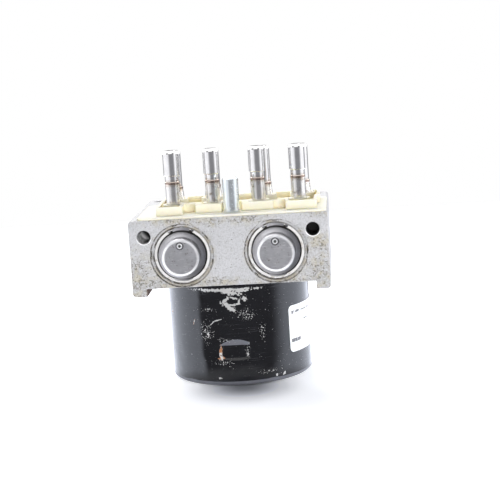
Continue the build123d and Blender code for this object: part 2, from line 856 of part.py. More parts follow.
with BuildPart() as motor_end_plate:
    with BuildSketch(Plane.XY.offset(end_plate_low)):
        Circle(motor_radius)
    extrude(amount=end_plate_thickness)
    with BuildSketch(Plane.XY.offset(end_plate_low)):
        Circle(can_inner_radius - seat_gap)
        Circle(can_inner_radius - spigot_wall, mode=Mode.SUBTRACT)
    extrude(amount=-spigot_depth)
    with BuildSketch(Plane.XY.offset(block_floor)):
        Circle(nose_radius)
    extrude(amount=nose_height)
    stepped_bore(Plane((0, 0, end_plate_low), x_dir=(1, 0, 0), z_dir=(0, 0, -1)), [
        (front_bearing_radius + seat_gap, front_bearing_width + seat_gap),
        (shaft_radius + 2 * slide_gap, end_plate_thickness + nose_height),
    ])
    with BuildSketch(Plane.XY.offset(end_plate_low)):
        with Locations(*motor_screw_places):
            Circle(motor_screw_radius + seat_gap)
        with Locations((0, connector_y)):
            Circle(connector_radius + seat_gap)
    extrude(amount=end_plate_thickness, mode=Mode.SUBTRACT)
save(motor_end_plate, "motor_end_plate")

motor_seal = seal_ring(Plane.XZ, seal_radius, block_floor + seal_wire, seal_wire)
save(motor_seal, "motor_seal")

with BuildPart() as motor_label:
    label_plane = azimuth_plane(label_start)
    with BuildSketch(label_plane) as label_section:
        with Locations((motor_radius + seat_gap + label_thickness / 2, label_low + label_height / 2)):
            Rectangle(label_thickness, label_height)
    revolve(label_section.sketch, axis=motor_axis, revolution_arc=label_sweep)
    corners = motor_label.edges().filter_by(GeomType.LINE).filter_by(Axis.Z, reverse=True)
    fillet(corners, radius=label_corner)
save(motor_label, "motor_label")

with BuildPart() as magnets:
    for side in sides.values():
        with BuildSketch(azimuth_plane(side * quarter_turn - magnet_arc / 2)) as magnet_section:
            with Locations((can_inner_radius - slide_gap - magnet_thickness / 2,
                            magnet_low + magnet_length / 2)):
                Rectangle(magnet_thickness, magnet_length)
        revolve(magnet_section.sketch, axis=motor_axis, revolution_arc=magnet_arc)
save(magnets, "magnets")

for node, radius, low, length in (
        ("rear_bush", rear_bush_radius, bush_seat, rear_bush_length),
        ("front_bearing", front_bearing_radius, end_plate_low, front_bearing_width)):
    with BuildPart() as bearing:
        with BuildSketch(Plane.XY.offset(low)):
            Circle(radius)
            Circle(shaft_radius + running_gap, mode=Mode.SUBTRACT)
        extrude(amount=length)
    save(bearing, node)


# ---------------------------------------------------------------- rotor
with BuildPart() as rotor_shaft:
    with BuildSketch(Plane.XY.offset(shaft_foot)):
        Circle(shaft_radius)
    extrude(amount=rotor_top - shaft_foot)
    chamfer(rotor_shaft.edges().filter_by(GeomType.CIRCLE), length=sleeve_chamfer)
save(rotor_shaft, "rotor_shaft")

with BuildPart() as rotor_core:
    with BuildSketch(Plane.XY.offset(core_low)):
        Circle(core_radius)
        Circle(shaft_radius + seat_gap, mode=Mode.SUBTRACT)
        with PolarLocations((slot_inner + slot_outer) / 2, slot_count):
            Rectangle(slot_outer - slot_inner, slot_width, mode=Mode.SUBTRACT)
        with PolarLocations((slot_outer + core_radius) / 2, slot_count):
            Rectangle(core_radius - slot_outer + slot_mouth, slot_mouth, mode=Mode.SUBTRACT)
    extrude(amount=core_length)
save(rotor_core, "rotor_core")

with BuildPart() as rotor_winding:
    with BuildSketch(Plane.XY.offset(core_low - winding_inset)):
        with PolarLocations((slot_inner + slot_outer) / 2, slot_count):
            Rectangle(slot_outer - slot_inner - 2 * winding_inset, slot_width - 2 * winding_inset)
    extrude(amount=core_length + 2 * winding_inset)
    with BuildSketch(Plane.XY.offset(core_low - winding_inset)) as lower_end:
        Circle(slot_outer - winding_inset)
        Circle(slot_inner + winding_inset, mode=Mode.SUBTRACT)
    extrude(amount=-winding_end)
    with BuildSketch(Plane.XY.offset(core_low + core_length + winding_inset)) as upper_end:
        Circle(slot_outer - winding_inset)
        Circle(slot_inner + winding_inset, mode=Mode.SUBTRACT)
    extrude(amount=winding_end)
save(rotor_winding, "rotor_winding")

with BuildPart() as commutator:
    with BuildSketch(Plane.XY.offset(commutator_low)):
        Circle(commutator_radius)
        Circle(shaft_radius + seat_gap, mode=Mode.SUBTRACT)
        with PolarLocations(commutator_radius, commutator_slits):
            Rectangle(commutator_slit_depth * 2, commutator_slit_width, mode=Mode.SUBTRACT)
    extrude(amount=commutator_length)
save(commutator, "commutator")

with BuildPart() as eccentric:
    with BuildSketch(Plane.XY.offset(pump_z - eccentric_width / 2)):
        with Locations((0, eccentricity)):
            Circle(eccentric_radius)
        Circle(shaft_radius + seat_gap, mode=Mode.SUBTRACT)
    extrude(amount=eccentric_width)
save(eccentric, "eccentric")

with BuildPart() as eccentric_bearing:
    with BuildSketch(Plane.XY.offset(pump_z - eccentric_width / 2)):
        with Locations((0, eccentricity)):
            Circle(eccentric_ring_radius)
            Circle(eccentric_radius + running_gap, mode=Mode.SUBTRACT)
    extrude(amount=eccentric_width)
save(eccentric_bearing, "eccentric_bearing")


# ---------------------------------------------------------------- brush gear and connector
brush_plate_top = end_plate_low - seat_gap
brush_plate_low = brush_plate_top - brush_plate_thickness
channel_half_width = brush_width / 2 + slide_gap
channel_half_height = brush_height / 2 + slide_gap
brush_back = brush_tip + brush_length
brush_spring_end = brush_back + brush_wear + brush_spring_solid
brush_box_end = brush_spring_end + brush_box_wall

with BuildPart() as brush_holder:
    with BuildSketch(Plane.XY.offset(brush_plate_low)):
        Circle(can_inner_radius - spigot_wall - slide_gap)
        Circle(brush_plate_bore, mode=Mode.SUBTRACT)
    extrude(amount=brush_plate_thickness)
    box_low = brush_mid_z - channel_half_height - brush_box_wall
    with BuildSketch(Plane.XY.offset(box_low)):
        for side in sides.values():
            with Locations((side * (brush_plate_bore + brush_box_end) / 2, 0)):
                Rectangle(brush_box_end - brush_plate_bore, 2 * (channel_half_width + brush_box_wall))
    extrude(amount=brush_plate_low - box_low)
    for side in sides.values():
        inner_end = Plane((side * brush_plate_bore, 0, brush_mid_z), x_dir=(0, side, 0), z_dir=(side, 0, 0))
        with BuildSketch(inner_end) as channel:
            Rectangle(2 * channel_half_width, 2 * channel_half_height)
        extrude(channel.sketch, amount=brush_spring_end - brush_plate_bore, mode=Mode.SUBTRACT)
save(brush_holder, "brush_holder")

for side_name, side in sides.items():
    outward = Plane((0, 0, brush_mid_z), x_dir=(0, side, 0), z_dir=(side, 0, 0))
    with BuildPart() as brush:
        with BuildSketch(outward.offset(brush_tip - commutator_bite)) as brush_section:
            Rectangle(brush_width, brush_height)
        extrude(brush_section.sketch, amount=brush_length + commutator_bite)
        with Locations((0, 0, brush_mid_z)):
            Cylinder(brush_tip, 2 * brush_height, mode=Mode.SUBTRACT)
    save(brush, f"brush_{side_name}")

    brush_spring = coil_spring(outward.offset(brush_back), brush_height / 2 - 2 * brush_wire, brush_wire,
                               brush_spring_end - brush_back, brush_coils)
    save(brush_spring, f"brush_spring_{side_name}")

with BuildPart() as motor_connector:
    with BuildSketch(Plane.XY.offset(brush_plate_top)):
        with Locations((0, connector_y)):
            Circle(connector_radius)
    extrude(amount=block_top - travel_gap - brush_plate_top)
    with BuildSketch(block_top_plane.offset(-travel_gap)):
        with Locations((0, connector_y)):
            with GridLocations(connector_radius, 0, 2, 1):
                Rectangle(connector_slot_width, connector_slot_length)
    extrude(amount=-connector_slot_depth, mode=Mode.SUBTRACT)
save(motor_connector, "motor_connector")
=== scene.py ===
"""Looks of the brake hydraulic modulator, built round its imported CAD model.

Object coordinates of every CAD node are the part's own frame in metres: origin at the foot of the motor,
+Z up the motor axis, -Y out of the face that holds the accumulators. Left and right are -X and +X.
Colours are linear red, green and blue. No piece of the object is made here: each material is painted on the
CAD node itself. New here are the floor, the lights, the cards, the sheet for glossy rays, the world and the
camera.
"""

from math import cos, pi, radians, sin

import bpy
from mathutils import Matrix, Vector


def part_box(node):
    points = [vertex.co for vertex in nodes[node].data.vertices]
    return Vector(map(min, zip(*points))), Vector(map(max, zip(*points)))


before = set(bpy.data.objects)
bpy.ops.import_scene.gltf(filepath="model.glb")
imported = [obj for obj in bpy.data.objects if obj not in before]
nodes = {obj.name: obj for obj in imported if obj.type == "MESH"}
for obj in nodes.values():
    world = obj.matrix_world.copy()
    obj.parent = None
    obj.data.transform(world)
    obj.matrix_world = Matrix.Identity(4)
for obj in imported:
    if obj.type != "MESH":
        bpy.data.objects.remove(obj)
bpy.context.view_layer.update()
MM = 0.001


# ---------------------------------------------------------------- places read from the frame
def centre(node):
    low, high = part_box(node)
    return (low + high) / 2


sides = ("left", "right")
numbers = range(1, 5)
block_low, block_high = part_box("valve_block")
block_front, block_top = block_low.y, block_high.z
cap_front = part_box("accumulator_cap_left")[0].y
accumulator_z = centre("accumulator_cap_left").z
block_floor = accumulator_z - 16.5 * MM  # underside of the block between its rails
rail_face_x = block_low.x + 7.5 * MM  # inner face of the left rail under the block
bracket_x = block_high.x - 7.8 * MM
bracket_z = accumulator_z + 10.4 * MM
bracket_radius = 3.4 * MM
motor_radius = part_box("motor_end_plate")[1].x

# Radii round an accumulator's axis, from the outside in
lip_radius = 16.2 * MM  # edge of the seat in the block's face
ledge_radius = 15.4 * MM  # middle of the ledge inside that edge
seat_line_radius = 14.75 * MM  # painted shade line on the ledge, just outside the seat's wall
ring_entry_radius = 14.6 * MM  # where the retaining ring passes into the seat's wall
ring_inner_radius = 12.7 * MM  # at the ring's inner edge
seam_radius = 12.5 * MM  # between the cap's skirt and the ring's inner edge
shoulder_radius = 8.75 * MM  # on the cap's rounded shoulder, near its flat end

# Up from the block's top
inlet_weld_height = 16.6 * MM
outlet_weld_height = 11.5 * MM


# ---------------------------------------------------------------- shader graphs
class Graph:
    """One procedural material, with short calls for the nodes that it is made of."""

    def __init__(self, name, **settings):
        self.material = bpy.data.materials.new(name)
        self.material.use_nodes = True
        self.tree = self.material.node_tree
        self.tree.nodes.clear()
        self.output = self.tree.nodes.new("ShaderNodeOutputMaterial")
        self.shader = self.tree.nodes.new("ShaderNodeBsdfPrincipled")
        self.tree.links.new(self.shader.outputs["BSDF"], self.output.inputs["Surface"])
        self.place = self.node("ShaderNodeTexCoord").outputs["Object"]
        self.set(**settings)

    def node(self, kind, inputs=None, **properties):
        made = self.tree.nodes.new(kind)
        for key, value in properties.items():
            setattr(made, key, value)
        for key, value in (inputs or {}).items():
            self.feed(made.inputs[key], value)
        return made

    def feed(self, socket, value):
        if isinstance(value, bpy.types.NodeSocket):
            self.tree.links.new(value, socket)
        elif socket.type == "RGBA" and len(value) == 3:
            socket.default_value = (*value, 1.0)
        else:
            socket.default_value = value

    def set(self, **settings):
        """Sets or links the shader's own sockets, such as base_color or roughness."""
        for key, value in settings.items():
            self.feed(self.shader.inputs[key.replace("_", " ").title().replace("Ior", "IOR")], value)

    # Patterns
    def noise(self, scale, detail=3.0, place=None):
        inputs = {"Vector": place or self.place, "Scale": scale, "Detail": detail}
        return self.node("ShaderNodeTexNoise", inputs).outputs["Fac"]

    def stretch(self, scale, place=None):
        inputs = {"Vector": place or self.place, "Scale": scale}
        return self.node("ShaderNodeMapping", inputs).outputs["Vector"]

    # Arithmetic
    def math(self, operation, first, second=0.0):
        return self.node("ShaderNodeMath", {0: first, 1: second}, operation=operation).outputs[0]

    def minus(self, first, second):
        return self.math("SUBTRACT", first, second)

    def total(self, first, second):
        return self.math("ADD", first, second)

    def most(self, first, *others):
        for other in others:
            first = self.math("MAXIMUM", first, other)
        return first

    def product(self, first, *others):
        for other in others:
            first = self.math("MULTIPLY", first, other)
        return first

    def step(self, value, low, high):
        """0 below low, 1 above high, smooth between; falls instead of rising where high is the smaller."""
        inputs = {"Value": value, "From Min": low, "From Max": high}
        return self.node("ShaderNodeMapRange", inputs, interpolation_type="SMOOTHSTEP").outputs["Result"]

    def band(self, value, middle, half_width, softness):
        """1 within half_width of the middle, 0 beyond it."""
        away = self.math("ABSOLUTE", self.minus(value, middle))
        return self.step(away, half_width + softness, half_width)

    def between(self, share, first, second):
        """A number between two others, by a share."""
        inputs = {"Value": share, "To Min": first, "To Max": second}
        return self.node("ShaderNodeMapRange", inputs).outputs["Result"]

    def blend(self, share, under, over):
        """A colour between two others, by a share of the one on top."""
        mix = self.node("ShaderNodeMix", data_type="RGBA")
        for socket, value in zip((mix.inputs[0], mix.inputs[6], mix.inputs[7]), (share, under, over)):
            self.feed(socket, value)
        return mix.outputs[2]

    # Places on the object
    def axes(self, place=None):
        return self.node("ShaderNodeSeparateXYZ", {"Vector": place or self.place}).outputs

    def flat(self, across, up):
        """A flat map made of two coordinates."""
        return self.node("ShaderNodeCombineXYZ", {"X": across, "Y": up}).outputs["Vector"]

    def distance(self, point, scale):
        """Distance from a point, with each axis weighed by a scale."""
        away = self.node("ShaderNodeVectorMath", {0: self.place, 1: point}, operation="SUBTRACT")
        inputs = {0: away.outputs["Vector"], 1: scale}
        weighed = self.node("ShaderNodeVectorMath", inputs, operation="MULTIPLY")
        return self.length(weighed.outputs["Vector"])

    def length(self, vector):
        return self.node("ShaderNodeVectorMath", {0: vector}, operation="LENGTH").outputs["Value"]

    def off_bore(self, x, z):
        """Distance from an axis along Y."""
        return self.distance((x, 0, z), (1, 0, 1))

    def off_upright(self, x, y):
        """Distance from an axis along Z."""
        return self.distance((x, y, 0), (1, 1, 0))

    # Surface relief and wear
    def true_normal(self):
        return self.node("ShaderNodeNewGeometry").outputs["Normal"]

    def bump(self, height, distance, strength=1.0, normal=None):
        inputs = {"Height": height, "Distance": distance, "Strength": strength}
        if normal:
            inputs["Normal"] = normal
        return self.node("ShaderNodeBump", inputs).outputs["Normal"]

    def soft_edges(self, radius):
        return self.node("ShaderNodeBevel", {"Radius": radius}, samples=4).outputs["Normal"]

    def worn_edges(self, radius):
        """1 along sharp edges, 0 on open faces, from how far a bevel would turn the normal."""
        turned = self.node("ShaderNodeVectorMath", {0: self.soft_edges(radius), 1: self.true_normal()},
                           operation="DOT_PRODUCT").outputs["Value"]
        return self.step(turned, 0.995, 0.9)

    def crevices(self, distance):
        """How open a place is: 1 on open faces, less in corners and slots."""
        return self.node("ShaderNodeAmbientOcclusion", {"Distance": distance}, samples=6).outputs["AO"]


def dress(material, *names):
    """Gives CAD nodes a material in place of their own."""
    for name in names:
        for slot in nodes[name].material_slots:
            slot.material = material


def nearest_mark(graph, flat, marks):
    """How far off the nearest of some ellipses on a flat map is, measured so that 1 is its outline.

    Each mark is its middle across and up, its half length and half width, all in millimetres, and its tilt
    in degrees.
    """
    nearest = 10.0  # beyond the reach of any mark
    for across, up, half_length, half_width, tilt in marks:
        local = graph.node("ShaderNodeMapping", {
            "Vector": flat, "Location": (across * MM, up * MM, 0), "Rotation": (0, 0, radians(tilt)),
            "Scale": (half_length * MM, half_width * MM, 1)}, vector_type="TEXTURE").outputs["Vector"]
        nearest = graph.math("MINIMUM", nearest, graph.length(local))
    return nearest


# ---------------------------------------------------------------- materials: block
# Dirty areas of the front face, as marks by x and z
soiled_marks = (
    (-48, 60, 9, 15, 0),
    (-38, 57, 12, 5, 0),
    (-8, 57, 16, 3, 0),
    (-25, 90, 20, 3.5, 0),
    (-8, 88, 5, 3, 0),
    (9, 90, 14, 4, 0),
    (26, 56, 18, 3, 0),
    (46, 60, 9, 12, 0),
    (46, 75, 7, 6, 0),
    (48, 91, 8, 4, 0),
)
grain_grey = (0.37, 0.37, 0.38)
speckle_grey = (0.33, 0.32, 0.30)
road_dirt = (0.44, 0.39, 0.26)
pit_brown = (0.15, 0.14, 0.12)
ledge_dirt = (0.33, 0.29, 0.21)
halo_dirt = (0.38, 0.33, 0.22)
seat_gap_shade = (0.055, 0.045, 0.032)
clot_black = (0.05, 0.042, 0.03)
corner_shade_and_grime = (0.06, 0.045, 0.03)
rail_brown = (0.15, 0.085, 0.06)
rubbed_aluminium = (0.78, 0.78, 0.79)
# painted highlight and painted shade for the bracket holes
lit_rim = (0.97, 0.97, 0.97)
lit_bore = (0.62, 0.62, 0.63)
bore_shade = (0.010, 0.009, 0.009)


def threaded_holes():
    """x, z, radius and pitch of each thread along Y: wheel ports, master ports and bracket holes."""
    wheel_z, master_z = accumulator_z + 8.5 * MM, accumulator_z - 6.0 * MM
    wheel_ports = [(column * MM, wheel_z, 4.46 * MM, 1.0 * MM) for column in (-37, -13, 13, 37)]
    master_ports = [(column * MM, master_z, 5.46 * MM, 1.0 * MM) for column in (-25, 25)]
    brackets = [(column, bracket_z, bracket_radius, 1.25 * MM) for column in (-bracket_x, bracket_x)]
    return wheel_ports + master_ports + brackets


def thread_ridges(graph, y):
    """Height of the thread ridges on the walls of the bores."""
    ridges = 0.0
    for hole_x, hole_z, radius, pitch in threaded_holes():
        wall = graph.band(graph.off_bore(hole_x, hole_z), radius, 0.15 * MM, 0.05 * MM)
        wave = graph.math("PINGPONG", y, pitch / 2)
        ridges = graph.total(ridges, graph.product(wave, wall))
    return ridges


def seat_dirt_and_shade(graph, colour, fore, x, z):
    """Dirt on the ledges of the accumulator seats, broken lines of painted shade round them, stronger on the
    left, and a faint halo of dirt.
    """
    worn = graph.noise(230, 5)
    blotch = graph.noise(170)
    for side in sides:
        middle = centre(f"accumulator_cap_{side}")
        away = graph.off_bore(middle.x, middle.z)
        below = graph.step(graph.minus(z, middle.z), 8 * MM, -14 * MM)
        dusty = graph.step(graph.total(worn, graph.product(below, 0.12)), 0.50, 0.62)
        ledge = graph.product(graph.band(away, ledge_radius, 0.9 * MM, 0.1 * MM), dusty, fore, 0.5)
        colour = graph.blend(ledge, colour, ledge_dirt)
        near = graph.step(away, lip_radius + 2.3 * MM, lip_radius)
        halo = graph.product(near, graph.step(worn, 0.48, 0.62), fore, 0.25)
        colour = graph.blend(halo, colour, halo_dirt)
        # painted shade: broken black lines at the seat's edge and in the gap by its wall, stronger on the
        # left
        leftward = graph.step(graph.minus(x, middle.x), 13 * MM, -4 * MM)
        leftward_shade = graph.product(graph.between(leftward, 0.35, 1.0), fore)
        for radius, half_width, start in ((lip_radius + 0.05 * MM, 0.12 * MM, 0.34),
                                          (seat_line_radius, 0.22 * MM, 0.30)):
            broken = graph.step(worn, start, start + 0.16)
            line = graph.product(graph.band(away, radius, half_width, 0.28 * MM), broken, leftward_shade)
            colour = graph.blend(line, colour, seat_gap_shade)
        rim = graph.band(away, lip_radius - 0.3 * MM, 0.25 * MM, 0.4 * MM)
        clot = graph.product(rim, graph.step(blotch, 0.56, 0.62), fore, 0.9)
        colour = graph.blend(clot, colour, clot_black)
    return colour


def bracket_bores(graph, colour, fore, x, y, z):
    """Bracket holes with a painted highlight on the lower rim: the left one painted lit on its lower left
    wall, both painted in shade inside.
    """
    behind_face = graph.band(y, block_front + 13.5 * MM, 12.8 * MM, 0.4 * MM)
    for hole_x, lit_share in ((-bracket_x, 0.97), (bracket_x, 0.0)):
        away = graph.off_bore(hole_x, bracket_z)
        above = graph.minus(z, bracket_z)
        # painted highlight along the lower part of the rim
        rim = graph.product(graph.band(away, bracket_radius + 0.35 * MM, 0.15 * MM, 0.2 * MM),
                            graph.step(above, 0.5 * MM, -2.5 * MM), fore)
        colour = graph.blend(rim, colour, lit_rim)
        # painted light on the left hole's lower left wall, painted shade inside both holes
        inside = graph.product(
            graph.step(away, bracket_radius + 0.2 * MM, bracket_radius + 0.1 * MM), behind_face)
        slant = graph.total(graph.minus(x, hole_x), above)
        lit = graph.product(graph.step(slant, -0.5 * MM, -3.5 * MM), lit_share)
        colour = graph.blend(graph.product(inside, lit), colour, lit_bore)
        colour = graph.blend(graph.product(inside, graph.minus(0.97, lit)), colour, bore_shade)
    return colour


def milled_aluminium():
    """Saw-cut and milled aluminium: speckled grain, pits, road dirt, stained seats with painted shade round
    them, painted shade with dirt in corners, edges worn bright, and painted light and shade in the bracket
    holes.
    """
    graph = Graph("machined_aluminium", metallic=0.2)
    x, y, z = graph.axes()
    fore = graph.step(y, block_front + 5.1 * MM, block_front + 3.1 * MM)  # 1 near the front face
    soil = graph.product(graph.step(nearest_mark(graph, graph.flat(x, z), soiled_marks), 1.5, 0.2), fore)
    grain = graph.noise(1700)
    cloud = graph.noise(70, 5)
    speckled = graph.step(graph.total(graph.noise(900, 5), graph.product(soil, 0.12)), 0.50, 0.66)
    yellow = graph.product(soil, graph.step(graph.noise(260), 0.46, 0.62))
    pits = graph.step(graph.total(graph.noise(1100), graph.product(soil, 0.11)), 0.66, 0.71)

    colour = graph.blend(cloud, (0.45, 0.453, 0.468), (0.535, 0.535, 0.545))
    colour = graph.blend(graph.product(graph.step(grain, 0.42, 0.68), 0.85), colour, grain_grey)
    colour = graph.blend(graph.product(speckled, graph.between(soil, 0.30, 0.75)), colour, speckle_grey)
    colour = graph.blend(graph.product(yellow, 0.45), colour, road_dirt)
    colour = graph.blend(graph.product(pits, 0.8), colour, pit_brown)
    colour = seat_dirt_and_shade(graph, colour, fore, x, z)
    # painted shade with dirt: darker in corners and slots, by how open a place is
    crevice_shade_and_grime = graph.step(graph.crevices(2.0 * MM), 0.75, 0.20)
    colour = graph.blend(graph.product(crevice_shade_and_grime, 0.75), colour, corner_shade_and_grime)
    rail = graph.product(graph.band(x, rail_face_x, 0.2 * MM, 0.1 * MM),
                         graph.step(z, block_floor + 0.1 * MM, block_floor - 0.3 * MM))
    colour = graph.blend(graph.product(rail, 0.85), colour, rail_brown)
    bright_edges = graph.product(graph.worn_edges(0.30 * MM), graph.step(graph.noise(700), 0.60, 0.40))
    colour = graph.blend(bright_edges, colour, rubbed_aluminium)
    colour = bracket_bores(graph, colour, fore, x, y, z)

    relief = graph.minus(graph.product(grain, 0.5), pits)
    surface = graph.bump(relief, 0.035 * MM, 0.7, graph.soft_edges(0.3 * MM))
    graph.set(base_color=colour, roughness=graph.between(graph.most(speckled, cloud), 0.38, 0.62),
              normal=graph.bump(thread_ridges(graph, y), 1.0, 1.0, surface))
    return graph.material


# ---------------------------------------------------------------- materials: turned and sheet steel
def shaded(colour, share):
    return tuple(share * channel for channel in colour)


def turned_steel(name, colour, roughness, metallic=1.0):
    """Lathe-turned bright metal with fine grooves round an upright axis."""
    graph = Graph(name, metallic=metallic)
    groove_spacing = 0.25 * MM
    streaks = graph.noise(1 / groove_spacing, 2, graph.stretch((0.02, 0.02, 1.0)))
    smears = graph.noise(180)
    graph.set(base_color=graph.blend(smears, shaded(colour, 0.82), colour),
              roughness=graph.between(graph.product(streaks, smears), roughness * 0.7, roughness * 1.8),
              normal=graph.bump(streaks, 0.01 * MM, 0.5, graph.soft_edges(0.15 * MM)))
    return graph.material


def valve_steel(name, weld_height):
    """Valve stem: bright tube with painted shade on its level top, brown heat-tinted weld, dull turned body
    below it.
    """
    graph = Graph(name, metallic=1.0)
    height = graph.minus(graph.axes()[2], block_top)
    weld_middle = weld_height + 0.35 * MM
    wobble = graph.total(height, graph.product(graph.noise(300, 2), 0.7 * MM))
    tinted = graph.band(wobble, weld_middle, 0.55 * MM, 0.35 * MM)
    straw = graph.band(wobble, weld_middle, 1.3 * MM, 0.9 * MM)
    lower = graph.step(height, weld_height, weld_height - 0.6 * MM)
    # painted shade: faces that look upward are darker
    level = graph.step(graph.axes(graph.true_normal())[2], 0.75, 0.97)
    stain = graph.product(lower, graph.step(graph.noise(450), 0.56, 0.70))
    colour = graph.blend(graph.noise(260, 4), (0.74, 0.735, 0.73), (0.90, 0.90, 0.90))
    for share, coat in ((graph.product(lower, 0.6), (0.76, 0.745, 0.72)),
                        (graph.product(straw, 0.5), (0.60, 0.52, 0.44)),
                        (graph.product(tinted, 0.75), (0.26, 0.17, 0.13)),
                        (graph.product(level, 0.9), (0.30, 0.295, 0.29)),
                        (graph.product(stain, 0.6), (0.25, 0.18, 0.11))):
        colour = graph.blend(share, colour, coat)
    streaks = graph.noise(3500, 2, graph.stretch((0.03, 0.03, 1.0)))
    dull = graph.most(graph.product(lower, 0.6), stain)
    graph.set(base_color=colour, roughness=graph.between(dull, 0.15, 0.32),
              normal=graph.bump(streaks, 0.012 * MM, 0.5, graph.soft_edges(0.15 * MM)))
    return graph.material


vent_rise = 6.2 * MM  # of the vent nub above the cap's axis
skirt_reflection_light = (0.84, 0.83, 0.87)
skirt_reflection_dark = (0.13, 0.13, 0.145)
seam_shade_black = (0.02, 0.018, 0.016)
shoulder_highlight = (0.97, 0.97, 0.98)
vent_steel = (0.90, 0.90, 0.91)
vent_black = (0.03, 0.028, 0.028)


def cap_steel():
    """Pressed cap: dull grey sheet with specks and scratches, a painted highlight round its shoulder,
    brightest to the lower left, and a dark vent.

    The skirt carries a painted reflection, light on its left and dark on its right, and a painted shade line
    where it meets its ring.
    """
    graph = Graph("pressed_cap_steel")
    x, y, z = graph.axes()
    cloud = graph.noise(240, 4)
    specks = graph.step(graph.noise(1000, 2), 0.64, 0.69)
    scratched = graph.step(graph.noise(1.0, 3, graph.stretch((300, 300, 2600))), 0.60, 0.68)
    colour = graph.blend(cloud, (0.30, 0.30, 0.32), (0.50, 0.50, 0.52))
    colour = graph.blend(graph.product(scratched, 0.35), colour, (0.88, 0.88, 0.88))
    colour = graph.blend(graph.product(specks, 0.65), colour, (0.16, 0.14, 0.12))
    crown_level = graph.step(y, cap_front + 2.5 * MM, cap_front + 1.9 * MM)
    ring_level = graph.step(y, block_front - 0.3 * MM, block_front + 0.4 * MM)
    bright_edges = 0.0
    for side in sides:
        middle = centre(f"accumulator_cap_{side}")
        from_axis = graph.off_bore(middle.x, middle.z)
        across = graph.minus(x, middle.x)
        own_cap = graph.step(from_axis, 20 * MM, 19 * MM)  # 0 on the other side's cap
        skirt = graph.product(graph.step(from_axis, 9.2 * MM, 9.8 * MM), own_cap)
        # painted reflection: the skirt light on its left, dark on its right
        skirt_reflection = graph.blend(graph.step(across, -7 * MM, 9 * MM), skirt_reflection_light, skirt_reflection_dark)
        colour = graph.blend(graph.product(skirt, 0.85), colour, skirt_reflection)
        # painted shade line in the gap between the cap's skirt and its ring
        seam = graph.product(ring_level, graph.band(from_axis, seam_radius, 0.22 * MM, 0.2 * MM))
        colour = graph.blend(graph.product(seam, 0.92), colour, seam_shade_black)
        # painted highlight round the shoulder near the flat end, brightest to the lower left; there the cap
        # is also made less metallic
        lower_left = graph.minus(graph.minus(middle.z, z), across)
        uneven = graph.total(lower_left, graph.product(cloud, 12 * MM))
        bright = graph.between(graph.step(uneven, -6 * MM, 14 * MM), 0.30, 0.85)
        crown_edge = graph.band(from_axis, shoulder_radius, 0.30 * MM, 0.55 * MM)
        shoulder = graph.product(crown_level, bright, crown_edge)
        colour = graph.blend(shoulder, colour, shoulder_highlight)
        bright_edges = graph.most(bright_edges, shoulder)
        from_vent = graph.off_bore(middle.x, middle.z + vent_rise)
        colour = graph.blend(graph.step(from_vent, 1.5 * MM, 1.2 * MM), colour, vent_steel)
        rim = graph.product(graph.band(from_vent, 1.75 * MM, 0.15 * MM, 0.25 * MM), 0.85)
        colour = graph.blend(graph.most(rim, graph.step(from_vent, 0.8 * MM, 0.6 * MM)), colour, vent_black)
    graph.set(base_color=colour, metallic=graph.between(bright_edges, 0.7, 0.2),
              roughness=graph.between(cloud, 0.26, 0.42),
              normal=graph.bump(graph.noise(1400), 0.015 * MM, 0.5, graph.soft_edges(1.0 * MM)))
    return graph.material


ring_shade_black = (0.02, 0.017, 0.014)
lug_offset, lug_rise = 4.6 * MM, 12.1 * MM  # of each lug from the ring's axis


def ring_steel():
    """Retaining ring: pale plated steel, with broken painted shade where it meets its bore and the cap,
    painted shade in the gaps at its lugs, and painted shade with dirt in its crevices.
    """
    graph = Graph("retaining_ring_steel", metallic=0.3)
    worn = graph.noise(330, 4)
    colour = graph.blend(worn, (0.66, 0.65, 0.64), (0.90, 0.89, 0.87))
    stain = graph.step(graph.noise(420, 4), 0.56, 0.68)
    colour = graph.blend(graph.product(stain, 0.45), colour, (0.30, 0.23, 0.15))
    for side in sides:
        middle = centre(f"accumulator_cap_{side}")
        away = graph.off_bore(middle.x, middle.z)
        # painted shade, broken up, where the ring passes into its bore and at its inner edge by the cap
        black = graph.most(graph.band(away, ring_entry_radius, 0.2 * MM, 0.25 * MM),
                           graph.band(away, ring_inner_radius, 0.12 * MM, 0.2 * MM))
        colour = graph.blend(graph.product(black, graph.step(worn, 0.28, 0.44)), colour, ring_shade_black)
        # painted shade in the gaps at the lugs
        for lug_x in (-lug_offset, lug_offset):
            gap = graph.distance((middle.x + lug_x, 0, middle.z + lug_rise), (0.45, 0, 1))
            colour = graph.blend(graph.step(gap, 1.0 * MM, 0.6 * MM), colour, ring_shade_black)
    # painted shade with dirt: darker in crevices, by how open a place is
    crevice_shade_and_grime = graph.step(graph.crevices(0.8 * MM), 0.65, 0.25)
    colour = graph.blend(graph.product(crevice_shade_and_grime, 0.8), colour, (0.03, 0.025, 0.02))
    graph.set(base_color=colour, roughness=graph.between(worn, 0.3, 0.5),
              normal=graph.bump(graph.noise(1500, 2), 0.015 * MM, 0.5, graph.soft_edges(0.15 * MM)))
    return graph.material


def spring_steel():
    """Drawn wire, clouded and a little rusted."""
    graph = Graph("spring_steel", metallic=1.0)
    wire = (0.60, 0.59, 0.58)
    cloud = graph.noise(300, 4)
    stain = graph.product(graph.step(graph.noise(240, 5), 0.52, 0.68), 0.35)
    clouded = graph.blend(cloud, shaded(wire, 0.72), wire)
    graph.set(base_color=graph.blend(stain, clouded, (0.20, 0.11, 0.055)),
              roughness=graph.between(cloud, 0.21, 0.364),
              normal=graph.bump(graph.noise(1800, 2), 0.01 * MM, 0.5, graph.soft_edges(0.15 * MM)))
    return graph.material


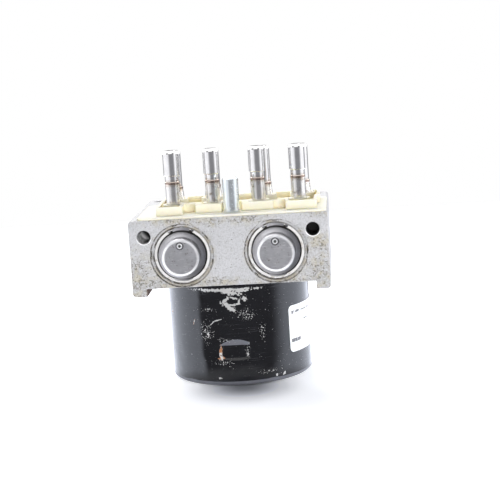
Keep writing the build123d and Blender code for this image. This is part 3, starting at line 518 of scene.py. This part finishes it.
# ---------------------------------------------------------------- materials: motor
# Marks in the paint: degrees from the front towards +X, height, half length, half width, tilt in degrees
bare_marks = (
    (-6, 51.5, 15, 0.75, 0),
    (-2, 50, 5.5, 1, -10),
    (6, 50.5, 5, 0.5, 5),
    (-6, 46, 2.5, 0.75, 45),
    (-4, 42.5, 4, 1, -35),
    (-6, 44, 1.25, 0.75, 60),
    (-1.5, 43.5, 4, 0.5, 5),
    (1, 47, 2.25, 0.5, -15),
    (4.5, 45, 1.25, 0.5, 90),
    (8.5, 46.5, 1.5, 1, -30),
    (-18, 34, 2, 0.25, 40),
    (-14, 35.5, 2.25, 0.25, 15),
    (-22, 28, 1.5, 0.25, 100),
    (9, 17, 1, 0.5, 100),
    (32, 4, 0.75, 0.5, 20),
    (39, 4, 1, 0.5, 30),
    (-14, 4.5, 1, 0.5, 0),
)
rusted_marks = (
    (-12.5, 18.5, 3.25, 0.75, 85),
    (-12, 15.5, 1.5, 1, 0),
    (-35, 34, 1.5, 0.25, 70),
    (-66, 37, 1.25, 0.5, 90),
    (-76, 15, 1.25, 0.75, 0),
)
# Areas of fine flecks, as the marks above
flecked_marks = (
    (-24, 29, 3.5, 6.5, 0),
    (-21, 41, 5, 1.25, 0),
    (-11, 13, 5, 2, 0),
    (-9, 25, 4, 1.5, 0),
    (9, 38, 4.5, 3.5, 0),
    (9, 19, 1.5, 4.5, 0),
    (25, 7, 6, 1.5, 0),
    (22, 29, 2, 4.5, 0),
)
deep_black = (0.003, 0.003, 0.004)
dust_blue = (0.28, 0.30, 0.34)
underside_reflection_blue = (0.26, 0.27, 0.31)
scuffed_paint = (0.20, 0.20, 0.22)
bare_metal = (0.58, 0.58, 0.57)
red_rust = (0.30, 0.13, 0.055)
inner_steel = (0.50, 0.50, 0.50)


def unrolled(graph):
    """The motor's wall laid flat: arc length from the front towards +X, height, and the map of the two."""
    x, y, z = graph.axes()
    angle = graph.math("ARCTAN2", x, graph.product(y, -1.0))
    arc = graph.product(angle, motor_radius)
    return arc, z, graph.flat(arc, z)


def nearest_on_wall(graph, wall, marks):
    """As nearest_mark, for marks that give degrees round the motor."""
    placed = [(radians(azimuth) * motor_radius / MM, *rest) for azimuth, *rest in marks]
    return nearest_mark(graph, wall, placed)


def motor_paint():
    """Gloss black paint with chips to bare and rusted metal, flecks, scuffs, a film of dust and a painted
    reflection, lighter and bluish, where the foot turns under.

    Cycles draws this material plain black when it has many more nodes than these.
    """
    graph = Graph("gloss_black_paint", ior=1.45)
    _, height, wall = unrolled(graph)
    ragged = graph.product(graph.minus(graph.noise(1100, 5), 0.5), 3.4)
    chipped = graph.step(graph.total(nearest_on_wall(graph, wall, bare_marks), ragged), 1.08, 0.92)
    rusted = graph.step(graph.total(nearest_on_wall(graph, wall, rusted_marks), ragged), 1.08, 0.92)
    area = graph.step(nearest_on_wall(graph, wall, flecked_marks), 1.7, 0.2)
    flecks = graph.step(graph.total(graph.noise(1700), graph.product(area, 0.13)), 0.715, 0.74)
    bare = graph.most(chipped, rusted, flecks)
    scuffed = graph.product(graph.step(graph.noise(1.0, 3, graph.stretch((60, 1500, 1), wall)), 0.58, 0.70),
                            graph.step(graph.noise(55, 2), 0.46, 0.60))
    inner = graph.step(graph.off_upright(0, 0), motor_radius - 1.2 * MM, motor_radius - 1.4 * MM)
    turned_under = graph.step(graph.axes(graph.true_normal())[2], -0.04, -0.18)  # where the foot turns under

    colour = graph.blend(graph.product(graph.noise(160, 4), 0.02), deep_black, dust_blue)
    # painted reflection: lighter bluish paint where the foot turns under, which is also rougher
    underside_reflection_share = graph.product(turned_under, graph.between(graph.noise(120), 0.30, 0.60))
    colour = graph.blend(underside_reflection_share, colour, underside_reflection_blue)
    colour = graph.blend(graph.product(scuffed, 0.08), colour, scuffed_paint)
    colour = graph.blend(graph.product(bare, 0.9), colour, bare_metal)
    rust_share = graph.product(rusted, graph.step(graph.noise(800, 2), 0.42, 0.50))
    colour = graph.blend(rust_share, colour, red_rust)
    colour = graph.blend(inner, colour, inner_steel)

    wavy = graph.product(graph.noise(75, 2), graph.between(graph.step(height, 26 * MM, 12 * MM), 1.0, 2.5))
    relief = graph.minus(graph.product(graph.noise(260, 2), 0.12), bare)
    rough = graph.most(bare, turned_under, graph.product(scuffed, 0.5))
    surface = graph.bump(relief, 0.04 * MM, 0.6, graph.soft_edges(0.35 * MM))
    graph.set(base_color=colour, metallic=graph.most(inner, graph.product(chipped, 0.5)),
              roughness=graph.between(rough, 0.07, 0.5), normal=graph.bump(wavy, 0.35 * MM, 0.5, surface))
    return graph.material


# Plain bars in place of the label's print: start and end in degrees, height, half height
label_bars = (
    (48.5, 53, 35.2, 0.80),
    (54, 60, 35.4, 0.60),
    (62, 78, 35.3, 0.35),
    (84, 116, 34.6, 1.10),
    (66, 74, 30.0, 0.30),
    (80, 112, 30.2, 0.35),
    (80, 104, 28.2, 0.35),
    (48.5, 60, 20.2, 0.90),
    (82, 116, 22.0, 0.35),
    (82, 100, 20.0, 0.35),
)


def label_paper():
    """White sticker with plain broken bars, a slight yellowing and scuffed patches."""
    graph = Graph("label_paper", specular_ior_level=0.35)
    arc, height, wall = unrolled(graph)
    smudge = graph.noise(140, 4)
    printed = 0.0
    for start, end, middle, half_height in label_bars:
        half_arc = radians(end - start) / 2 * motor_radius
        along = graph.band(arc, radians(start + end) / 2 * motor_radius, half_arc, 0.1 * MM)
        printed = graph.most(printed, graph.product(
            along, graph.band(height, middle * MM, half_height * MM, 0.1 * MM)))
    broken = graph.step(graph.noise(1.0, 1, graph.stretch((1500, 300, 1), wall)), 0.34, 0.40)
    paper = graph.blend(smudge, (0.78, 0.80, 0.83), (0.86, 0.88, 0.90))
    graph.set(base_color=graph.blend(graph.product(printed, broken, 0.9), paper, (0.04, 0.04, 0.05)),
              roughness=graph.between(smudge, 0.35, 0.55),
              normal=graph.bump(graph.noise(500), 0.02 * MM, 0.4))
    return graph.material


# ---------------------------------------------------------------- materials: plastics and the rest
def cream_nylon():
    """Natural nylon: milky, with painted shade, deeper and more orange, in its recesses, and grey handling
    dirt.
    """
    graph = Graph("cream_nylon", subsurface_weight=0.35, subsurface_scale=0.004,
                  subsurface_radius=(1.0, 0.8, 0.45))
    cloud = graph.noise(90, 4)
    colour = graph.blend(cloud, (0.79, 0.755, 0.61), (0.84, 0.815, 0.71))
    # painted shade: deeper, more orange colour in recesses, by how open a place is
    recess_shade = graph.step(graph.crevices(6 * MM), 0.80, 0.25)
    colour = graph.blend(graph.product(recess_shade, 0.6), colour, (0.84, 0.74, 0.46))
    dirt = graph.step(graph.noise(500, 4), 0.62, 0.74)
    colour = graph.blend(graph.product(dirt, 0.20), colour, (0.35, 0.28, 0.18))
    graph.set(base_color=colour, roughness=graph.between(cloud, 0.36, 0.52),
              normal=graph.bump(graph.noise(900, 2), 0.015 * MM, 0.5, graph.soft_edges(0.25 * MM)))
    return graph.material


def plain(name, dark, light, roughness, metallic=0.0):
    """Cloudy two-tone finish with a fine grain, for rubber, carbon, ferrite, wire and the like."""
    graph = Graph(name, metallic=metallic)
    cloud = graph.noise(400, 4)
    graph.set(base_color=graph.blend(cloud, dark, light),
              roughness=graph.between(cloud, roughness * 0.8, roughness * 1.2),
              normal=graph.bump(graph.noise(2000, 2), 0.02 * MM, 0.5))
    return graph.material


# ---------------------------------------------------------------- dressing the CAD nodes
def both(kind):
    return [f"{kind}_{side}" for side in sides]


def four(kind):
    return [f"{kind}_{number}" for number in numbers]


dress(milled_aluminium(), "valve_block")
dress(cream_nylon(), "valve_plate")
dress(motor_paint(), "motor_case", "motor_end_plate")
dress(label_paper(), "motor_label")
dress(cap_steel(), *both("accumulator_cap"))
dress(spring_steel(), "valve_springs",
      *both("accumulator_spring"), *both("pump_spring"), *both("brush_spring"))
dress(ring_steel(), *both("retaining_ring"))
dress(turned_steel("zinc_plated_steel", (0.88, 0.94, 0.97), 0.26, metallic=0.92),
      "locating_sleeve", "motor_screws", *both("pump_plug"))
dress(turned_steel("ground_steel", (0.74, 0.74, 0.74), 0.22),
      "rotor_shaft", "eccentric", "eccentric_bearing", "front_bearing", "passage_balls",
      *both("pump_guide"), *both("pump_piston"), *four("inlet_armature"), *four("outlet_armature"))
dress(valve_steel("inlet_stem_steel", inlet_weld_height), *four("inlet_valve"))
dress(valve_steel("outlet_stem_steel", outlet_weld_height), *four("outlet_valve"))
dress(plain("bare_aluminium", (0.60, 0.60, 0.61), (0.72, 0.72, 0.73), 0.35, metallic=1.0),
      *both("accumulator_piston"))
dress(plain("seal_rubber", (0.012, 0.012, 0.012), (0.03, 0.03, 0.03), 0.55),
      "motor_seal", *both("piston_seal"))
dress(plain("black_plastic", (0.015, 0.015, 0.016), (0.035, 0.035, 0.036), 0.45),
      "brush_holder", "motor_connector")
dress(plain("ferrite", (0.05, 0.05, 0.052), (0.09, 0.09, 0.09), 0.6), "magnets")
dress(plain("pressed_carbon", (0.03, 0.03, 0.03), (0.06, 0.06, 0.06), 0.5, metallic=0.3), *both("brush"))
dress(plain("lamination_stack", (0.22, 0.22, 0.23), (0.36, 0.36, 0.37), 0.4, metallic=1.0), "rotor_core")
dress(plain("copper", (0.62, 0.27, 0.13), (0.80, 0.42, 0.24), 0.3, metallic=1.0),
      "rotor_winding", "commutator")
dress(plain("bush_bronze", (0.50, 0.33, 0.15), (0.66, 0.46, 0.24), 0.35, metallic=1.0), "rear_bush")


# ---------------------------------------------------------------- stage
table_reach = 0.60
shadow_x, shadow_y = 4 * MM, -41 * MM
table_white = (0.89, 0.91, 0.96)
painted_contact_shadow = (0.34, 0.35, 0.38)
room_reach = 3.0
room_middle_y = -30 * MM
room_turn = radians(15)
room_tone = (0.27, 0.27, 0.29)
near_glow = (2.65, 2.8, 3.15)
far_glow = (1.15, 1.15, 1.2)
tent_tone = (0.42, 0.425, 0.45)
open_tone = (0.17, 0.17, 0.18)


def link(thing):
    bpy.context.scene.collection.objects.link(thing)
    return thing


def panel(name, low, high):
    """Staged rectangle between two opposite corners, flat along the axis in which they agree."""
    first, second = [axis for axis in range(3) if low[axis] != high[axis]]
    after_low, before_low = list(low), list(low)
    after_low[first] = high[first]
    before_low[second] = high[second]
    mesh = bpy.data.meshes.new(name)
    mesh.from_pydata([low, after_low, high, before_low], [], [(0, 1, 2, 3)])
    made = link(bpy.data.objects.new(name, mesh))
    return made


def show_to_mirrors_only(thing):
    for ray in ("visible_camera", "visible_diffuse", "visible_shadow", "visible_transmission"):
        setattr(thing, ray, False)


def stage_floor():
    """White table with a painted contact shadow under the object; away from it, it glows more and more,
    which shapes the shadow's edge and keeps the table white.
    """
    floor = panel("floor", (-table_reach, -table_reach, 0), (table_reach, table_reach, 0))
    graph = Graph("white_floor", roughness=0.6, specular_ior_level=0.2)
    away = graph.off_upright(shadow_x, shadow_y)
    # painted shadow: the glow rises with distance from the shadow's middle, shaping its falloff
    glow = graph.total(graph.product(graph.step(away, 10 * MM, 36 * MM), 0.43),
                       graph.product(graph.step(away, 60 * MM, 120 * MM), 0.37))
    # painted contact shadow: a grey patch on the floor under the motor's front
    graph.set(base_color=graph.blend(graph.step(away, 18 * MM, 2 * MM), table_white, painted_contact_shadow),
              emission_color=(1, 1, 1), emission_strength=glow)
    floor.data.materials.append(graph.material)


def reflected_room():
    """What polished metal and paint see at floor level: bright to the sides, dark before and behind.

    A direction is told by its cosine from the front (-Y). Near the object the dark front sector is wide, and
    reaches further round and fades more softly on its right than on its left. Further out it is turned
    towards +X. The dark back sector is narrow near the object and wide further out. The sheet is clear
    where the object stands.
    """
    sheet = panel("room_floor", (-room_reach, -room_reach, 0.5 * MM), (room_reach, room_reach, 0.5 * MM))
    graph = Graph("room_glow")
    x, y, _ = graph.axes()
    out = graph.off_upright(0, room_middle_y)
    ahead = graph.math("DIVIDE", graph.minus(room_middle_y, y), out)
    turned = graph.total(graph.product(ahead, cos(room_turn)),
                         graph.product(graph.math("DIVIDE", x, out), sin(room_turn)))
    far = graph.step(out, 0.38, 0.55)
    near_front = graph.between(graph.step(x, -20 * MM, 20 * MM), graph.step(ahead, 0.33, 0.50),
                               graph.step(ahead, 0.05, 0.55))
    front = graph.between(far, near_front, graph.step(turned, 0.60, 0.95))
    back = graph.most(graph.product(graph.step(ahead, -0.40, -0.70), graph.step(out, 0.50, 0.62)),
                      graph.step(ahead, -0.88, -0.97))
    colour = graph.blend(graph.most(front, back), graph.blend(far, near_glow, far_glow), room_tone)
    glow = graph.node("ShaderNodeEmission", {"Color": colour, "Strength": 1.0})
    clear = graph.node("ShaderNodeBsdfTransparent")
    shown = graph.node("ShaderNodeMixShader", {
        0: graph.step(out, 25 * MM, 60 * MM), 1: clear.outputs[0], 2: glow.outputs[0]})
    graph.tree.links.new(shown.outputs[0], graph.output.inputs["Surface"])
    sheet.data.materials.append(graph.material)
    show_to_mirrors_only(sheet)


def mirror_card(name, low, high, radiance):
    """Bright panel that polished metal and paint see, and nothing else."""
    card = panel(name, low, high)
    graph = Graph(name, base_color=(0, 0, 0), emission_color=(1, 1, 1), emission_strength=radiance)
    card.data.materials.append(graph.material)
    show_to_mirrors_only(card)


def tent():
    """White tent, darker before and behind the object; plain white where the camera sees it."""
    world = bpy.data.worlds.new("tent")
    bpy.context.scene.world = world
    world.use_nodes = True
    tree = world.node_tree
    tree.nodes.clear()

    def make(kind, inputs=None, **properties):
        made = tree.nodes.new(kind)
        for key, value in properties.items():
            setattr(made, key, value)
        for key, value in (inputs or {}).items():
            if isinstance(value, bpy.types.NodeSocket):
                tree.links.new(value, made.inputs[key])
            else:
                made.inputs[key].default_value = value
        return made

    def sector(low, high):
        inputs = {"Value": ahead.outputs["Value"], "From Min": low, "From Max": high}
        return make("ShaderNodeMapRange", inputs, interpolation_type="SMOOTHSTEP").outputs["Result"]

    place = make("ShaderNodeTexCoord").outputs["Generated"]
    ahead = make("ShaderNodeVectorMath", {0: place, 1: (0.0, -1.0, 0.0)}, operation="DOT_PRODUCT")
    dark = make("ShaderNodeMath", {0: sector(0.25, 0.65), 1: sector(-0.90, -0.97)}, operation="MAXIMUM")
    tones = {0: dark.outputs[0], 6: (*tent_tone, 1), 7: (*open_tone, 1)}
    walls = make("ShaderNodeMix", tones, data_type="RGBA")
    seen = make("ShaderNodeLightPath").outputs["Is Camera Ray"]
    shown = make("ShaderNodeMix", {0: seen, 6: walls.outputs[2], 7: (1, 1, 1, 1)}, data_type="RGBA")
    background = make("ShaderNodeBackground", {"Color": shown.outputs[2], "Strength": 1.0})
    make("ShaderNodeOutputWorld", {"Surface": background.outputs["Background"]})


# ---------------------------------------------------------------- light and camera
def softbox(name, place, aim, size, radiance, mirrored=True):
    """Rectangular light with an even brightness over its face, seen in polished surfaces or not."""
    light = bpy.data.lights.new(name, "AREA")
    light.shape = "RECTANGLE"
    light.size, light.size_y = size
    light.energy = radiance * pi * size[0] * size[1]
    lamp = bpy.data.objects.new(name, light)
    lamp.location = place
    lamp.visible_glossy = mirrored
    lamp.rotation_euler = (Vector(aim) - Vector(place)).to_track_quat("-Z", "Y").to_euler()
    link(lamp)


def studio_camera():
    """Long lens a little above the object and to its right, held with a slight roll."""
    azimuth, elevation, roll = radians(4.12), radians(9.19), radians(3.63)
    distance = 0.700
    aim = Vector((10.84 * MM, -42.0 * MM, 74.81 * MM))
    back = Vector((sin(azimuth) * cos(elevation), -cos(azimuth) * cos(elevation), sin(elevation)))
    level = Vector((cos(azimuth), sin(azimuth), 0))
    upright = back.cross(level)
    right = level * cos(roll) - upright * sin(roll)
    up = level * sin(roll) + upright * cos(roll)
    data = bpy.data.cameras.new("camera")
    data.sensor_width = 36.0
    data.lens = 98.91
    data.shift_y = -0.009
    data.clip_start = 0.01
    camera = bpy.data.objects.new("camera", data)
    camera.matrix_world = Matrix.Translation(aim + back * distance) @ Matrix(
        (right, up, back)).transposed().to_4x4()
    bpy.context.scene.camera = link(camera)


stage_floor()
reflected_room()
mirror_card("back_card", (-1.5, 1.4, 0.35), (1.5, 1.4, 1.6), 1.6)
mirror_card("left_card", (-1.5, -1.0, 0.02), (-1.5, 1.4, 1.6), 1.3)
mirror_card("right_card", (1.5, -1.0, 0.02), (1.5, 1.4, 1.6), 1.3)
mirror_card("front_card", (-0.9, -1.5, 0.35), (0.9, -1.5, 1.5), 1.3)
mirror_card("ceiling_card", (-1.5, -1.5, 1.6), (1.5, 1.4, 1.6), 1.5)
tent()
softbox("side_left", (-0.40, 0.40, 0.28), (0, 0.08, 0.05), (0.42, 0.42), 2.2)
softbox("side_right", (0.46, 0.24, 0.24), (0, 0.04, 0.05), (0.40, 0.30), 2.4)
softbox("overhead", (-0.15, 0.40, 0.75), (0, 0.05, 0.0), (0.80, 0.40), 6.2)
softbox("front", (0.35, -1.15, 0.10), (0, 0, 0.06), (0.80, 0.20), 24.0, mirrored=False)
studio_camera()
bpy.context.scene.view_settings.view_transform = "Standard"
